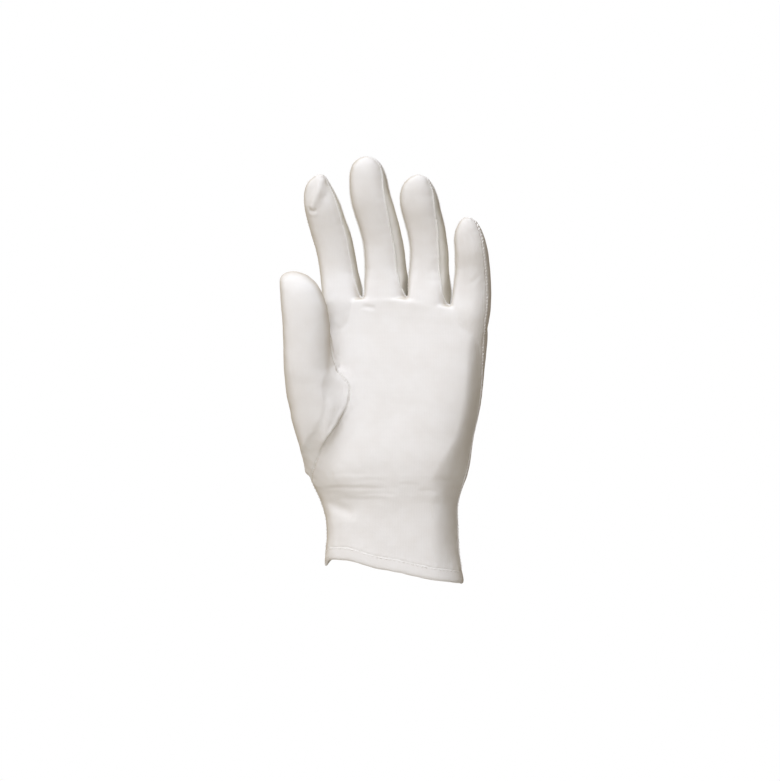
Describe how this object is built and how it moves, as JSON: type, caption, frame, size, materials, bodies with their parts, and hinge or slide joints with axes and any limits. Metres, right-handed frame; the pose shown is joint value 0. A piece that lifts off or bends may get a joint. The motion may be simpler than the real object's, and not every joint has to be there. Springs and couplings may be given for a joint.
{
  "type": "cotton glove",
  "caption": "White knitted cotton dress glove for a left hand in its worn form, with strips set in between the fingers, a set-in thumb and a short hemmed cuff.",
  "frame": {"origin": "middle of the cuff's mouth, where the wrist enters", "axes": "+Z from the wrist to the middle fingertip, -Y out of the palm, +X towards the little finger"},
  "size_m": [0.1159, 0.0539, 0.2382],
  "materials": {
    "cotton_knit": "matte white interlock cotton",
    "cotton_strip": "matte white interlock cotton, ribs across the strip",
    "cotton_hem": "matte white interlock cotton in two stitched layers",
    "sewing_thread": "white cotton sewing thread"
  },
  "bodies": {
    "root": {"palm_panel": "cotton_knit", "back_panel": "cotton_knit", "fourchette_index_middle": "cotton_strip", "fourchette_middle_ring": "cotton_strip", "fourchette_ring_little": "cotton_strip", "thumb": "cotton_knit", "cuff_hem": "cotton_hem"}
  },
  "joints": []
}
